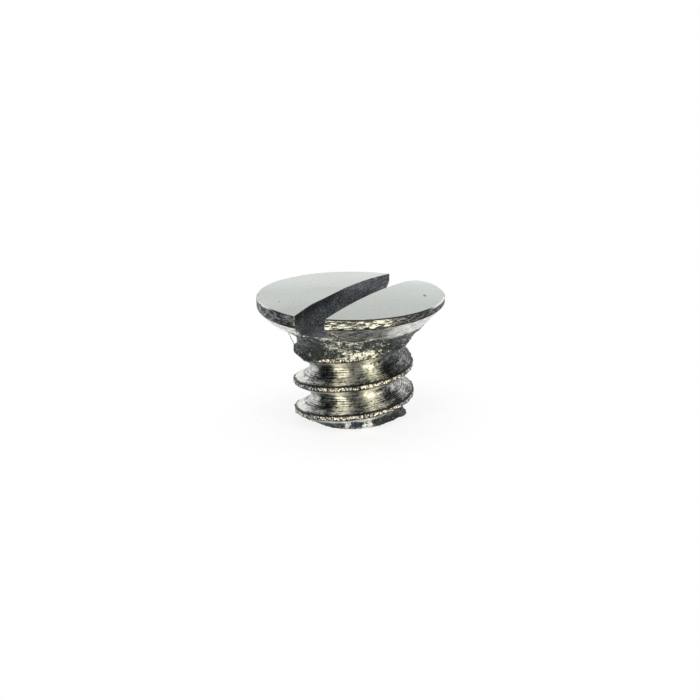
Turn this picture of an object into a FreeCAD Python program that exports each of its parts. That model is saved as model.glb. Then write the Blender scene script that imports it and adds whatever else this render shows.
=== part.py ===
import FreeCAD, Part
import os

import Sketcher

# Driving sizes in millimetres and degrees.
# Heights are measured up from the flat end face of the thread, where the origin is.
# The driver slot runs along X, and directions are turned from +X toward +Y.
SIZES = [
    ("overall_length", 1.11, "end face of the thread to the middle of the crown"),
    ("head_diameter", 1.56, "widest diameter, round the rim of the head"),
    ("rim_height", 0.07, "straight band between the countersink and the crown"),
    ("crown_height", 0.045, "rise of the domed top above its own edge"),
    ("crown_lean_angle", 2.1, "angle by which the polished crown is out of square"),
    ("crown_low_side_angle", -29.0, "direction of the low side of the crown"),
    ("countersink_angle", 90.0, "included angle of the cone under the head"),
    ("slot_width", 0.275, "width of the driver slot"),
    ("slot_depth", 0.168, "floor of the slot below the edge of the crown"),
    ("slot_offset", 0.07, "distance of the middle of the slot from the axis"),
    ("thread_diameter", 1.0, "major diameter of the thread"),
    ("thread_pitch", 0.25, "rise of the thread in one turn"),
    ("crest_width", 0.0375, "width of the land left between two turns of the groove"),
    ("flank_angle", 60.0, "included angle between the flanks of the groove"),
    ("root_radius", 0.045, "radius of the bottom of the groove"),
    ("neck_length", 0.115, "foot of the countersink to the middle of the last full groove"),
    ("last_groove_angle", -57.6, "direction in which the full depth ends"),
    ("runout_turns", 0.36, "part of a turn over which the groove rises out of the shank"),
    ("end_flat_diameter", 0.64, "flat on the end face of the thread"),
    ("end_chamfer_length", 0.085, "height of the chamfer that leads in to the thread"),
    ("overshoot", 0.05, "how far the cutting outlines reach past the metal they take away"),
]

# Radii and heights that several outlines share, as formulas on the sheet.
HEAD_RADIUS = "Sizes.head_diameter / 2"
THREAD_RADIUS = "Sizes.thread_diameter / 2"
END_RADIUS = "Sizes.end_flat_diameter / 2"
CROWN_EDGE = "Sizes.overall_length - Sizes.crown_height"
CONE_TOP = CROWN_EDGE + " - Sizes.rim_height"
CONE_DROP = "(Sizes.head_diameter - Sizes.thread_diameter) / 2 / tan(Sizes.countersink_angle / 2)"
CONE_FOOT = CONE_TOP + " - " + CONE_DROP
ABOVE_CROWN = "Sizes.overall_length + Sizes.overshoot"
OUTSIDE_HEAD = HEAD_RADIUS + " + Sizes.overshoot"
LAST_FULL_GROOVE = CONE_FOOT + " - Sizes.neck_length"

# The round bottom of the groove meets its flanks square to them, at half the flank angle.
GROOVE_MOUTH = "(Sizes.thread_pitch - Sizes.crest_width) / 2"
ROOT_RISE = "Sizes.root_radius * (1 - sin(Sizes.flank_angle / 2))"
ROOT_REACH = "Sizes.root_radius * cos(Sizes.flank_angle / 2)"
FLANK_RISE = "(%s - %s) / tan(Sizes.flank_angle / 2)" % (GROOVE_MOUTH, ROOT_REACH)
GROOVE_DEPTH = "(%s + %s)" % (FLANK_RISE, ROOT_RISE)

# The flanks run on past the crests by this much, which leaves part of each land whole.
FLANK_OVERSHOOT = "Sizes.crest_width / 4"

# A sketch numbers the points of an edge in this order, from the edge as a whole.
POINTS = ("edge", "start", "end", "centre")

doc = FreeCAD.newDocument("watch_screw")
sheet = doc.addObject("Spreadsheet::Sheet", "Sizes")


def fill_sheet():
    """Write each driving size into the sheet under its own name."""
    for row, (alias, value, meaning) in enumerate(SIZES, start=1):
        sheet.set("A%d" % row, alias)
        sheet.set("B%d" % row, str(value))
        sheet.set("C%d" % row, meaning)
        sheet.setAlias("B%d" % row, alias)
    doc.recompute()


def worked_out(formula):
    """Return what a formula on the sheet comes to now."""
    return float(sheet.evalExpression(formula))


def corner(across, up):
    """Return a corner as a point, from its two formulas."""
    return FreeCAD.Vector(worked_out(across), worked_out(up), 0)


def new_sketch(body, name, role):
    """Add a sketch that lies on one of the body's origin planes."""
    plane = next(item for item in body.Origin.OriginFeatures if item.Role == role)
    sketch = body.newObject("Sketcher::SketchObject", name)
    sketch.AttachmentSupport = [(plane, "")]
    sketch.MapMode = "FlatFace"
    return sketch


def upright_sketch(body, name, height, toward, lean):
    """Add a sketch whose V axis stands up, turned about Z and then leant over."""
    sketch = new_sketch(body, name, "XY_Plane")
    turn = "rotation(%s; %s; 90)" % (toward, lean)
    sketch.setExpression("AttachmentOffset", "placement(vector(0; 0; %s); %s)" % (height, turn))
    return sketch


def bind(sketch, kind, edge, point, formula):
    """Hold one point of an edge at the distance from the origin that a formula gives."""
    distance = worked_out(formula)
    number = sketch.addConstraint(
        Sketcher.Constraint(kind, -1, 1, edge, POINTS.index(point), distance))
    sketch.setExpression("Constraints[%d]" % number, formula)


def draw_outline(sketch, corners, arcs=None):
    """Draw a closed outline through the corners and bind it to the sheet.

    Each corner is a pair of formulas, across and up. Where arcs names a corner, the
    edge that starts there runs counter-clockwise, and the formulas given for it are
    its centre, across and up, and its radius.
    """
    arcs = arcs or {}
    points = [corner(*pair) for pair in corners]
    for index, start in enumerate(points):
        end = points[(index + 1) % len(points)]
        edge = Part.LineSegment(start, end)
        if index in arcs:
            centre = corner(*arcs[index][:2])
            circle = Part.Circle(centre, FreeCAD.Vector(0, 0, 1), (start - centre).Length)
            edge = Part.ArcOfCircle(circle, circle.parameter(start), circle.parameter(end))
        sketch.addGeometry(edge, False)
    for index in range(len(points)):
        follower = (index + 1) % len(points)
        ends = (index, POINTS.index("end"), follower, POINTS.index("start"))
        sketch.addConstraint(Sketcher.Constraint("Coincident", *ends))
    for index, (across, up) in enumerate(corners):
        bind(sketch, "DistanceX", index, "start", across)
        bind(sketch, "DistanceY", index, "start", up)
    for index, (across, up, radius) in arcs.items():
        number = sketch.addConstraint(Sketcher.Constraint("Radius", index, worked_out(radius)))
        sketch.setExpression("Constraints[%d]" % number, radius)


def draw_axis(sketch, start, end):
    """Add a construction line, bound to the sheet, for a feature to turn about."""
    line = sketch.addGeometry(Part.LineSegment(corner(*start), corner(*end)), True)
    for point, (across, up) in (("start", start), ("end", end)):
        bind(sketch, "DistanceX", line, point, across)
        bind(sketch, "DistanceY", line, point, up)


def turned_blank(body):
    """The turned blank: chamfered shank, countersunk cone, rim and uncut top."""
    sketch = new_sketch(body, "BlankOutline", "XZ_Plane")
    draw_outline(sketch, [
        ("0", "0"),
        (END_RADIUS, "0"),
        (THREAD_RADIUS, "Sizes.end_chamfer_length"),
        (THREAD_RADIUS, CONE_FOOT),
        (HEAD_RADIUS, CONE_TOP),
        (HEAD_RADIUS, ABOVE_CROWN),
        ("0", ABOVE_CROWN),
    ])
    blank = body.newObject("PartDesign::Revolution", "Blank")
    blank.Profile = (sketch, [""])
    blank.ReferenceAxis = (sketch, ["V_Axis"])
    blank.Angle = 360
    return blank


def polished_crown(body):
    """Cut the blank down to a shallow dome, leant a little out of square.

    The dome is part of a ball, swept about a level line through the ball's middle.
    """
    toward = "Sizes.crown_low_side_angle"
    lean = "Sizes.crown_lean_angle"
    sketch = upright_sketch(body, "CrownOutline", "Sizes.overall_length", toward, lean)
    ball_radius = "((%s) ^ 2 / Sizes.crown_height + Sizes.crown_height) / 2" % HEAD_RADIUS
    middle = "-(%s)" % ball_radius
    right = "(%s)" % OUTSIDE_HEAD
    left = "-" + right
    droop = "(%s - sqrt((%s) ^ 2 - %s ^ 2))" % (ball_radius, ball_radius, right)
    above = "%s + 3 * Sizes.overshoot" % droop
    outline = [(right, "-" + droop), (left, "-" + droop), (left, above), (right, above)]
    draw_outline(sketch, outline, arcs={0: ("0", middle, ball_radius)})
    draw_axis(sketch, (left, middle), (right, middle))
    crown = body.newObject("PartDesign::Groove", "Crown")
    crown.Profile = (sketch, [""])
    crown.ReferenceAxis = (sketch, ["Axis0"])
    crown.Midplane = True
    crown.setExpression("Angle", "2 * asin(%s / (%s))" % (right, ball_radius))
    return crown


def driver_slot(body):
    """Cut the straight slot across the whole head, a little to one side of the axis."""
    sketch = new_sketch(body, "SlotOutline", "YZ_Plane")
    near = "-Sizes.slot_offset - Sizes.slot_width / 2"
    far = "-Sizes.slot_offset + Sizes.slot_width / 2"
    floor = CROWN_EDGE + " - Sizes.slot_depth"
    draw_outline(sketch, [(near, floor), (far, floor), (far, ABOVE_CROWN), (near, ABOVE_CROWN)])
    slot = body.newObject("PartDesign::Pocket", "Slot")
    slot.Profile = (sketch, [""])
    slot.SideType = "Symmetric"
    slot.Type = "ThroughAll"
    return slot


def groove_outline(body):
    """The section of the thread groove, where its full depth ends."""
    toward = "Sizes.last_groove_angle"
    sketch = upright_sketch(body, "GrooveOutline", LAST_FULL_GROOVE, toward, "0")
    bottom = "%s - %s" % (THREAD_RADIUS, GROOVE_DEPTH)
    tangent = bottom + " + " + ROOT_RISE
    flank_end = THREAD_RADIUS + " + " + FLANK_OVERSHOOT
    opening = "(%s + %s * tan(Sizes.flank_angle / 2))" % (GROOVE_MOUTH, FLANK_OVERSHOOT)
    draw_outline(sketch, [
        (tangent, ROOT_REACH),
        (tangent, "-" + ROOT_REACH),
        (flank_end, "-" + opening),
        (OUTSIDE_HEAD, "-" + opening),
        (OUTSIDE_HEAD, opening),
        (flank_end, opening),
    ], arcs={0: (bottom + " + Sizes.root_radius", "0", "Sizes.root_radius")})
    return sketch


def thread(body):
    """Cut the right-hand groove down past the end face, and its run-out upward."""
    sketch = groove_outline(body)
    full = body.newObject("PartDesign::SubtractiveHelix", "Thread")
    full.Profile = (sketch, [""])
    full.ReferenceAxis = (sketch, ["V_Axis"])
    full.Mode = "pitch-height-angle"
    full.Reversed = True
    full.setExpression("Pitch", "Sizes.thread_pitch")
    full.setExpression("Height", "%s + Sizes.thread_pitch" % LAST_FULL_GROOVE)
    doc.recompute()
    runout = body.newObject("PartDesign::SubtractiveHelix", "ThreadRunout")
    runout.Profile = (sketch, [""])
    runout.ReferenceAxis = (sketch, ["V_Axis"])
    runout.Mode = "height-turns-growth"
    runout.setExpression("Height", "Sizes.thread_pitch * Sizes.runout_turns")
    runout.setExpression("Turns", "Sizes.runout_turns")
    runout.setExpression("Growth", "(%s + Sizes.overshoot) / Sizes.runout_turns" % GROOVE_DEPTH)
    return runout


def screw():
    """The whole screw, turned, threaded and slotted from one piece of steel."""
    body = doc.addObject("PartDesign::Body", "Screw")
    body.Label = "screw"
    for step in (turned_blank, polished_crown, thread, driver_slot):
        body.Tip = step(body)
        doc.recompute()
    body.Placement = FreeCAD.Placement()
    return body


def check(sub_parts):
    """Stop if any step of the model failed or left no sound solid."""
    for item in doc.Objects:
        if "Invalid" in item.State or "Error" in item.State:
            raise RuntimeError("%s is not in order: %s" % (item.Name, item.State))
    for sub_part in sub_parts:
        shape = sub_part.Shape
        if shape.isNull() or not shape.isValid() or len(shape.Solids) != 1:
            raise RuntimeError("%s has no sound solid" % sub_part.Label)


fill_sheet()
sub_parts = [screw()]
doc.recompute()
check(sub_parts)
os.makedirs("parts", exist_ok=True)
for sub_part in sub_parts:
    sub_part.Shape.exportStep("parts/%s.step" % sub_part.Label)
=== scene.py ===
import math
from collections import namedtuple
from functools import partialmethod

import bmesh
import bpy
import numpy as np
from mathutils import Matrix, Vector


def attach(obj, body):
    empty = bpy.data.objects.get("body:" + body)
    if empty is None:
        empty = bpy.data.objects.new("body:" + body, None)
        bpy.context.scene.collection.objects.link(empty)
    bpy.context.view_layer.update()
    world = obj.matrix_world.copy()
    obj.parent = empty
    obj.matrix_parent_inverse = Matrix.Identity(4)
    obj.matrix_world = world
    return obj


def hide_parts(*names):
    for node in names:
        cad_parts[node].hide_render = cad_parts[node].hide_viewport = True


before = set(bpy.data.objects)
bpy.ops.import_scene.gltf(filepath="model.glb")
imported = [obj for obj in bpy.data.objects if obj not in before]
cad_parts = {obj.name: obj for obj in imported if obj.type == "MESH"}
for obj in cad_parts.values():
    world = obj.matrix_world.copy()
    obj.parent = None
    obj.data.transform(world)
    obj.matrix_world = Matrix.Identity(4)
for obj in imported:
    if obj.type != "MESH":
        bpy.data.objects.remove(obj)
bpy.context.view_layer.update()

# Sizes of the screw in millimetres, the same as in the part's own source.
MM = 0.001
OVERALL_LENGTH = 1.11
HEAD_RADIUS = 0.78
RIM_HEIGHT = 0.07
CROWN_HEIGHT = 0.045
CROWN_LEAN = math.radians(2.1)
CROWN_LOW_SIDE = math.radians(-29.0)
EDGE_BEVEL = 0.010
SLOT_WIDTH = 0.275
SLOT_DEPTH = 0.168
SLOT_OFFSET = 0.07
THREAD_RADIUS = 0.5
THREAD_PITCH = 0.25
CREST_WIDTH = 0.0375
HALF_FLANK = math.radians(30.0)
ROOT_RADIUS = 0.045
NECK_LENGTH = 0.115
LAST_GROOVE = math.radians(-57.6)
RUNOUT_TURNS = 0.36
RUNOUT_CLEAR = 0.05
END_RADIUS = 0.32
END_CHAMFER = 0.085

# Heights and radii that follow from them. The cone falls at 45 degrees.
TURN = 2 * math.pi
CROWN_EDGE = OVERALL_LENGTH - CROWN_HEIGHT
CONE_TOP = CROWN_EDGE - RIM_HEIGHT
CONE_FOOT = CONE_TOP - (HEAD_RADIUS - THREAD_RADIUS)
SLOT_FLOOR = CROWN_EDGE - SLOT_DEPTH
FAR_WALL = SLOT_WIDTH / 2 - SLOT_OFFSET
NEAR_WALL = -(SLOT_OFFSET + SLOT_WIDTH / 2)
BALL_RADIUS = (HEAD_RADIUS ** 2 / CROWN_HEIGHT + CROWN_HEIGHT) / 2
GROOVE_MOUTH = (THREAD_PITCH - CREST_WIDTH) / 2
ROOT_REACH = ROOT_RADIUS * math.cos(HALF_FLANK)
ROOT_RISE = ROOT_RADIUS * (1 - math.sin(HALF_FLANK))
GROOVE_DEPTH = (GROOVE_MOUTH - ROOT_REACH) / math.tan(HALF_FLANK) + ROOT_RISE
GROOVE_BOTTOM = THREAD_RADIUS - GROOVE_DEPTH
LAST_GROOVE_HEIGHT = CONE_FOOT - NECK_LENGTH

# The photo looks at the screw from this side, round from the slot. The level ways to its
# camera and to its right follow from it.
PHOTO_SIDE = math.radians(-58.6)
TO_CAMERA = Vector((math.sin(PHOTO_SIDE), -math.cos(PHOTO_SIDE), 0.0))
TO_RIGHT = Vector((math.cos(PHOTO_SIDE), math.sin(PHOTO_SIDE), 0.0))

# Fineness of the grid: columns round the axis, rows on each surface, and how near points join.
COLUMNS = 540
END_RINGS = 9
ROOT_ROWS = 4
FLANK_ROWS = 8
CREST_ROWS = 3
TURNS_BELOW = 4
TURNS_ABOVE = 3
SHANK_TOP = CONE_FOOT + 0.055
CONE_ROWS = 19
RIM_ROWS = 9
BEVEL_PARTS = (0.3, 0.7, 1.0)
CROWN_OUTER_PART = 0.9965
CROWN_RINGS = 21
WELD = 0.00004
SLIVER_WELD = 0.00001

# Noise in the shape: how strong it is, how wide its bumps are in millimetres, and its seed.
Grain = namedtuple("Grain", "strength cell seed")
RIM_STREAKS = Grain(0.0022, 0.016, 11)
RIM_GRIT = Grain(0.0012, 0.011, 12)
EDGE_CHIPS = Grain(0.006, 0.03, 21)
LIP_CHIPS = Grain(0.005, 0.028, 31)
CONE_MARKS = Grain(0.0016, 0.012, 41)
ZONE_WANDER = Grain(0.03, 0.09, 44)
LUMPS = Grain(0.007, 0.034, 45)
LUMP_GRIT = Grain(0.004, 0.015, 46)
TIP_WANDER = Grain(0.015, 0.05, 47)
CREST_LUMPS = Grain(0.0055, 0.03, 51)
CREST_GRIT = Grain(0.0035, 0.012, 52)
FLANK_GRIT = Grain(0.0011, 0.02, 61)
WALL_RIPPLE = Grain(0.0009, 0.011, 71)
MOUTH_BREAKS = Grain(0.8, 0.016, 75)
FLOOR_MARKS = Grain(0.002, 0.014, 81)
MOUTH_LUMPS = Grain(0.010, 0.03, 91)
TORN_LUMPS = Grain(0.4, 0.025, 95)
NOTCH_WANDER = Grain(0.006, 0.03, 97)
NOISE_TABLE = 4096
NOISE_PRIMES = (73856093, 19349663, 83492791)
FINER = 2.2

# Tool marks draw their noise out: round the axis, up the slot's walls and along its floor.
RIM_DRAWN = np.array([0.35, 0.35, 1.6])
CONE_DRAWN = np.array([0.12, 0.12, 1.0])
WALL_DRAWN = np.array([1, 1, 0.16])
FLOOR_DRAWN = np.array([0.3, 1, 1])

# How softly the marks of one surface give way to the next, and where the head's edges chip.
EASE = 0.004
EDGE_SPREAD = 0.006
EDGE_REGION = HEAD_RADIUS - 0.02

# The torn zone: its top, where that rises, its foot below the cone and where that drops.
# A rise or drop has a bearing in degrees, a reach in degrees and a height.
ROUGH_TOP = 0.85
ROUGH_RISES = ((190.0, 13.0, 0.15), (172.0, 10.0, 0.06))
ROUGH_FOOT = CONE_FOOT - 0.065
ROUGH_DROP = (142.0, 34.0, 0.085)
TIP_TOP = 0.085
TIP_SHARE = 0.8

# Torn metal: bearing, height, reach round, reach up and how far it stands out.
TORN_PLACES = ((-62.0, 0.012, 0.075, 0.030, 0.066), (-76.0, 0.030, 0.05, 0.020, 0.025),
               (134.0, 0.600, 0.09, 0.030, 0.016))

# Worn spots on the head's edge: place in plan, reach, drop of the crown and of the rim's foot.
WORN_SPOTS = ((0.75, -0.21, 0.12, 0.017, 0.0), (-0.765, 0.09, 0.15, 0.008, 0.011),
              (-0.50, 0.60, 0.24, 0.009, -0.013))

# The torn notch at the photo's left: how far out the metal reaches at each level. The levels
# rise toward the camera, which looks down. Past the ends the metal keeps its full reach.
NOTCH_LEVELS = (0.48, 0.50, 0.53, 0.556, 0.58, 0.642, 0.652, 0.712, 0.755, 0.806, 0.83)
NOTCH_REACH = (0.60, 0.400, 0.435, 0.466, 0.486, 0.484, 0.450, 0.445, 0.534, 0.640, 0.80)
NOTCH_TILT = (0.289, 0.038)
NOTCH_LOWEST = 0.4
FULL_REACH = 2.0

# The slot's cutter: where its sections lie, close together at the slot's mouths.
SLOT_MIDDLE = 0.737
MIDDLE_STATIONS = 180
MOUTH_INSIDE = 0.745
MOUTH_OUTSIDE = 0.785
MOUTH_STATIONS = 14
OUTER_STATIONS = (0.85, 0.9)
FLOOR_POINTS = 19
WALL_POINTS = 21
LAST_CROWN = 0.76

# The small break at the top of each wall, and the cutter's own top above it.
WALL_BREAK = 0.004
BRINK_OUT = 0.012
BRINK_UP = 0.008
CUTTER_OUT = 0.03
CUTTER_TOP = 1.25

# Wear at the slot's mouths: ragged walls, a rounded near corner and a lumpy floor. Each has
# the place along the slot where it starts and where it is full.
RAGGED_MOUTH = (0.758, 0.778)
RAGGED_SIZE = 0.012
RAGGED_MEAN = 0.6
ROUNDED_MOUTH = (0.690, 0.775)
ROUNDED_SIZE = 0.035
LUMPY_MOUTH = (0.6, 0.74)

# Slivers of torn metal: fineness, how far out each corner of a section lies, and unevenness.
SLIVER_STEPS = 15
SLIVER_ROUNDS = 14
SLIVER_CORNERS = (1.0, 0.55, 1.0, 1.0, 0.55)
SLIVER_RAGGED = 0.25
SLIVER_CELL = 0.012
SLIVER_LUMP_CELL = 0.022
SLIVER_THINNEST = 0.2
SLIVER_THICKEST = 2.2

# The route is in bearing, radius and height, with half a width for each of its places. The
# grain of the metal is dark below the first value and bright above the second.
Burr = namedtuple("Burr", "name route widths seed lumps metal grain")
BURRS = (
    Burr("hair_burr", ((121.4, 0.552, 0.795), (121.4, 0.529, 0.765), (121.4, 0.509, 0.715),
                       (121.4, 0.478, 0.650)),
         (0.0045, 0.0050, 0.0048, 0.006), 201, 0.0, "torn_hair", (0.40, 0.60)),
    Burr("mouth_burr", ((174.6, 0.772, 0.978), (174.5, 0.742, 0.948), (174.6, 0.710, 0.918),
                        (175.4, 0.686, 0.899), (179.0, 0.684, 0.898), (183.0, 0.684, 0.897),
                        (187.0, 0.684, 0.897), (191.0, 0.684, 0.897)),
         (0.004, 0.007, 0.006, 0.008, 0.006, 0.007, 0.007, 0.004), 321, 1.0, "torn_lip",
         (0.50, 0.58)),
)

# Small pits painted on the crown as dark spots of painted shade: place in plan and size. They are
# drawn out along the camera's view.
CROWN_PITS = ((0.24, -0.57, 0.017), (-0.50, 0.38, 0.008), (0.13, 0.25, 0.006),
              (-0.03, 0.37, 0.005), (-0.38, -0.24, 0.005), (-0.05, -0.48, 0.005))
PIT_STRETCH = 2.3

# Colours of the metal. A pair of tones goes from dark to bright.
CROWN_TONES = ((0.63, 0.672, 0.626), (0.72, 0.758, 0.712))
CROWN_SPECK = (0.30, 0.31, 0.31)
CROWN_GRAIN = (0.42, 0.45, 0.44)
# The next colour is painted shade in the crown's pits.
PIT_SHADE = (0.05, 0.055, 0.06)
# The next two are a painted highlight on the crown's bevel and painted shade on its front.
EDGE_HIGHLIGHT = (0.98, 0.98, 0.96)
EDGE_SHADE = (0.05, 0.05, 0.055)
RIM_DARK = (0.02, 0.021, 0.023)
RIM_BRIGHT = (0.87, 0.90, 0.885)
# The next two are painted shade on the rim's sides, the first the lighter one at the left.
RIM_LEFT_SHADE = (0.33, 0.36, 0.40)
RIM_SIDE_SHADE = (0.18, 0.20, 0.23)
RIM_FLECK = (0.55, 0.57, 0.58)
LIP_DARK = (0.02, 0.022, 0.025)
CONE_TONES = ((0.28, 0.285, 0.28), (0.95, 0.965, 0.90))
# The next pair is painted shade on the cone's front.
CONE_SHADED_FRONT_TONES = ((0.02, 0.022, 0.022), (0.32, 0.33, 0.31))
CONE_STREAK = (0.16, 0.17, 0.18)
TORN_TONES = ((0.038, 0.047, 0.053), (0.84, 0.85, 0.81))
TORN_FLECK = (0.80, 0.83, 0.82)
FLANK_TONES = ((0.035, 0.042, 0.043), (0.95, 0.955, 0.91))
CREST_OUTLINE = (0.04, 0.04, 0.04)
CREST_TONES = ((0.05, 0.05, 0.05), (0.92, 0.90, 0.84))
WALL_TONES = ((0.080, 0.094, 0.112), (0.61, 0.665, 0.72))
MILLED_TONES = ((0.13, 0.138, 0.150), (0.40, 0.415, 0.435))
WALL_SPECK = (0.85, 0.86, 0.86)
WALL_PATCH = (0.50, 0.51, 0.52)
# The next three darken the slot's wall: painted shade far in, a darker tone near its near end, and
# painted shade at its top.
WALL_FAR = (0.05, 0.052, 0.055)
WALL_NEAR = (0.06, 0.068, 0.08)
WALL_TOP = (0.030, 0.034, 0.050)
WALL_STREAK = (0.02, 0.022, 0.026)
MOUTH_DARK = (0.03, 0.03, 0.035)
MOUTH_BURRED = (0.90, 0.92, 0.92)
END_TONES = ((0.36, 0.36, 0.35), (0.62, 0.62, 0.60))
BURR_TONES = ((0.10, 0.105, 0.11), (0.90, 0.91, 0.90))
BLACK = (0.0, 0.0, 0.0)
WHITE = (1.0, 1.0, 1.0)

# The photo's camera, in millimetres and degrees.
CAMERA_ELEVATION = 16.1
CAMERA_DISTANCE = 18.72
CAMERA_ROLL = -2.1
CAMERA_LENS = 116.3
AIM_HEIGHT = 0.588
AIM_ASIDE = -0.02
CLIP_START = 1.0
CLIP_END = 1000.0

# The floor card: its place under the screw, its edge, where it starts to fade, and its tone.
CARD_CORNERS = 96
CARD_HEIGHT = -0.002
CARD_RADIUS = 1.3
CARD_FADE = 0.45
FLOOR_PAPER = (0.22, 0.23, 0.255)
FLOOR_TOP_UP = 0.82

# The room: colours, and brightness by bearing round from the back, as a part of a turn.
ROOM = (0.95, 0.97, 1.0)
STRIP = (1.0, 0.925, 0.69)
OVERHEAD = (0.35, 0.36, 0.37)
FRONT_FILL = 0.36
UPPER_ROOM = 0.74
SURROUND_STOPS = ((0.0, 1.0, ROOM), (0.125, 1.0, ROOM), (0.19, 0.05, ROOM), (0.345, 0.03, ROOM),
                  (0.374, 6.0, STRIP), (0.408, 6.0, STRIP), (0.428, 0.04, ROOM),
                  (0.585, 0.04, ROOM), (0.605, 5.8, STRIP), (0.654, 5.8, STRIP),
                  (0.677, 0.03, ROOM), (0.905, 0.05, ROOM), (0.945, 0.9, ROOM), (1.0, 1.0, ROOM))


def lattice_noise(points, cell, seed):
    """Smooth noise from -1 to 1 at each point, with bumps about one cell across."""
    table = np.random.RandomState(seed).uniform(-1, 1, NOISE_TABLE)
    scaled = np.asarray(points) / cell
    base = np.floor(scaled).astype(np.int64)
    part = scaled - base
    part = part * part * (3 - 2 * part)
    total = np.zeros(len(scaled))
    for corner in range(8):
        bits = np.array([corner & 1, corner >> 1 & 1, corner >> 2 & 1])
        hashed = (base + bits) * np.array(NOISE_PRIMES)
        key = hashed[:, 0] ^ hashed[:, 1] ^ hashed[:, 2]
        weight = np.prod(np.where(bits, part, 1 - part), axis=1)
        total += weight * table[key % NOISE_TABLE]
    return total


def ragged(points, cell, seed):
    """Two sizes of lattice noise together, the finer one half as strong."""
    return lattice_noise(points, cell, seed) + 0.5 * lattice_noise(points, cell / FINER, seed + 1)


def rough(points, grain):
    """A grain's noise in two sizes."""
    return grain.strength * ragged(points, grain.cell, grain.seed)


def gritty(points, grain):
    """A grain's noise in one size."""
    return grain.strength * lattice_noise(points, grain.cell, grain.seed)


def smooth_mask(value, low, high):
    """0 below low, 1 above high, eased between."""
    part = np.clip((value - low) / (high - low), 0, 1)
    return part * part * (3 - 2 * part)


def turned_from(angle, degrees):
    """Angle away from a bearing in degrees, from minus half a turn to half a turn."""
    return (angle - math.radians(degrees) + math.pi) % TURN - math.pi


def around(radius, angle, height):
    """Turn radius, angle and height into points."""
    return np.stack([radius * np.cos(angle), radius * np.sin(angle), height], axis=-1)


def dome_height(x, y):
    """Height of the polished crown over a place in plan."""
    lean = math.sin(CROWN_LEAN)
    middle_x = -BALL_RADIUS * lean * math.cos(CROWN_LOW_SIDE)
    middle_y = -BALL_RADIUS * lean * math.sin(CROWN_LOW_SIDE)
    middle_z = OVERALL_LENGTH - BALL_RADIUS * math.cos(CROWN_LEAN)
    return middle_z + np.sqrt(BALL_RADIUS ** 2 - (x - middle_x) ** 2 - (y - middle_y) ** 2)


def crown_over(angles, radius):
    """Height of the crown over a circle."""
    return dome_height(radius * np.cos(angles), radius * np.sin(angles))


def groove_radius(away):
    """Radius of the full groove at a distance up or down from its middle."""
    arc = GROOVE_BOTTOM + ROOT_RADIUS - np.sqrt(np.maximum(ROOT_RADIUS ** 2 - away ** 2, 0))
    flank = GROOVE_BOTTOM + ROOT_RISE + (away - ROOT_REACH) / math.tan(HALF_FLANK)
    return np.where(away < ROOT_REACH, arc, np.minimum(flank, THREAD_RADIUS + away))


def blank_radius(height):
    """Radius of the turned blank below the rim."""
    chamfer = END_RADIUS + (THREAD_RADIUS - END_RADIUS) * np.clip(height / END_CHAMFER, 0, 1)
    cone = THREAD_RADIUS + np.clip(height - CONE_FOOT, 0, None)
    return np.where(height < CONE_FOOT, chamfer, cone)


def threaded_radius(angle, height):
    """Radius of the shank at an angle and height, with the groove and its run-out."""
    turns = (height - LAST_GROOVE_HEIGHT) / THREAD_PITCH - (angle - LAST_GROOVE) / TURN
    nearest = np.round(turns)
    away = np.abs(turns - nearest) * THREAD_PITCH
    along = (angle - LAST_GROOVE) / TURN + nearest
    lift = np.clip(along, 0, None) * (GROOVE_DEPTH + RUNOUT_CLEAR) / RUNOUT_TURNS
    return np.minimum(blank_radius(height), groove_radius(away) + lift)


def turn_offsets():
    """Heights of the grid's rows within one turn, from one groove's middle to the next."""
    root = np.linspace(0, ROOT_REACH, ROOT_ROWS)[:-1]
    flank = np.linspace(ROOT_REACH, GROOVE_MOUTH, FLANK_ROWS)[:-1]
    crest = np.linspace(GROOVE_MOUTH, THREAD_PITCH / 2, CREST_ROWS)
    half = np.concatenate([root, flank, crest])
    return np.concatenate([half, (THREAD_PITCH - half)[::-1][1:-1]])


def shank_heights(angles, offsets):
    """Heights of the shank's rows, which climb with the groove and stop at the ends."""
    turns = np.arange(-TURNS_BELOW, TURNS_ABOVE) * THREAD_PITCH
    levels = (turns[:, None] + offsets[None, :]).ravel()
    middle = LAST_GROOVE_HEIGHT + THREAD_PITCH * (angles - LAST_GROOVE) / TURN
    return np.clip(levels[:, None] + middle[None, :], 0, SHANK_TOP)


def turned_grid():
    """The whole outside as rows of points, from the middle of the end to that of the crown."""
    angles = np.arange(COLUMNS) * TURN / COLUMNS

    def ring(radius, height):
        """One row, where the radius or the height may change round the ring."""
        spread = np.ones(COLUMNS)
        return around(radius * spread, angles, height * spread)

    rows = [ring(END_RADIUS * part, 0.0) for part in np.linspace(0, 1, END_RINGS)[:-1]]
    first = len(rows)
    offsets = turn_offsets()
    for level in shank_heights(angles, offsets):
        rows.append(around(threaded_radius(angles, level), angles, level))
    last = len(rows) - 1
    for height in np.linspace(SHANK_TOP, CONE_TOP, CONE_ROWS)[1:]:
        rows.append(ring(float(blank_radius(height)), height))
    shoulder = crown_over(angles, HEAD_RADIUS) - EDGE_BEVEL
    for part in np.linspace(0, 1, RIM_ROWS)[1:]:
        rows.append(ring(HEAD_RADIUS, CONE_TOP + (shoulder - CONE_TOP) * part))
    level = crown_over(angles, HEAD_RADIUS - EDGE_BEVEL)
    for part in BEVEL_PARTS:
        turned = part * math.pi / 2
        radius = HEAD_RADIUS - EDGE_BEVEL * (1 - math.cos(turned))
        rows.append(ring(radius, shoulder + (level - shoulder) * math.sin(turned)))
    for part in np.concatenate([[CROWN_OUTER_PART], np.linspace(1, 0, CROWN_RINGS)[1:]]):
        radius = (HEAD_RADIUS - EDGE_BEVEL) * part
        rows.append(ring(radius, crown_over(angles, radius)))
    return np.array(rows), first, last, len(offsets)


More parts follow.
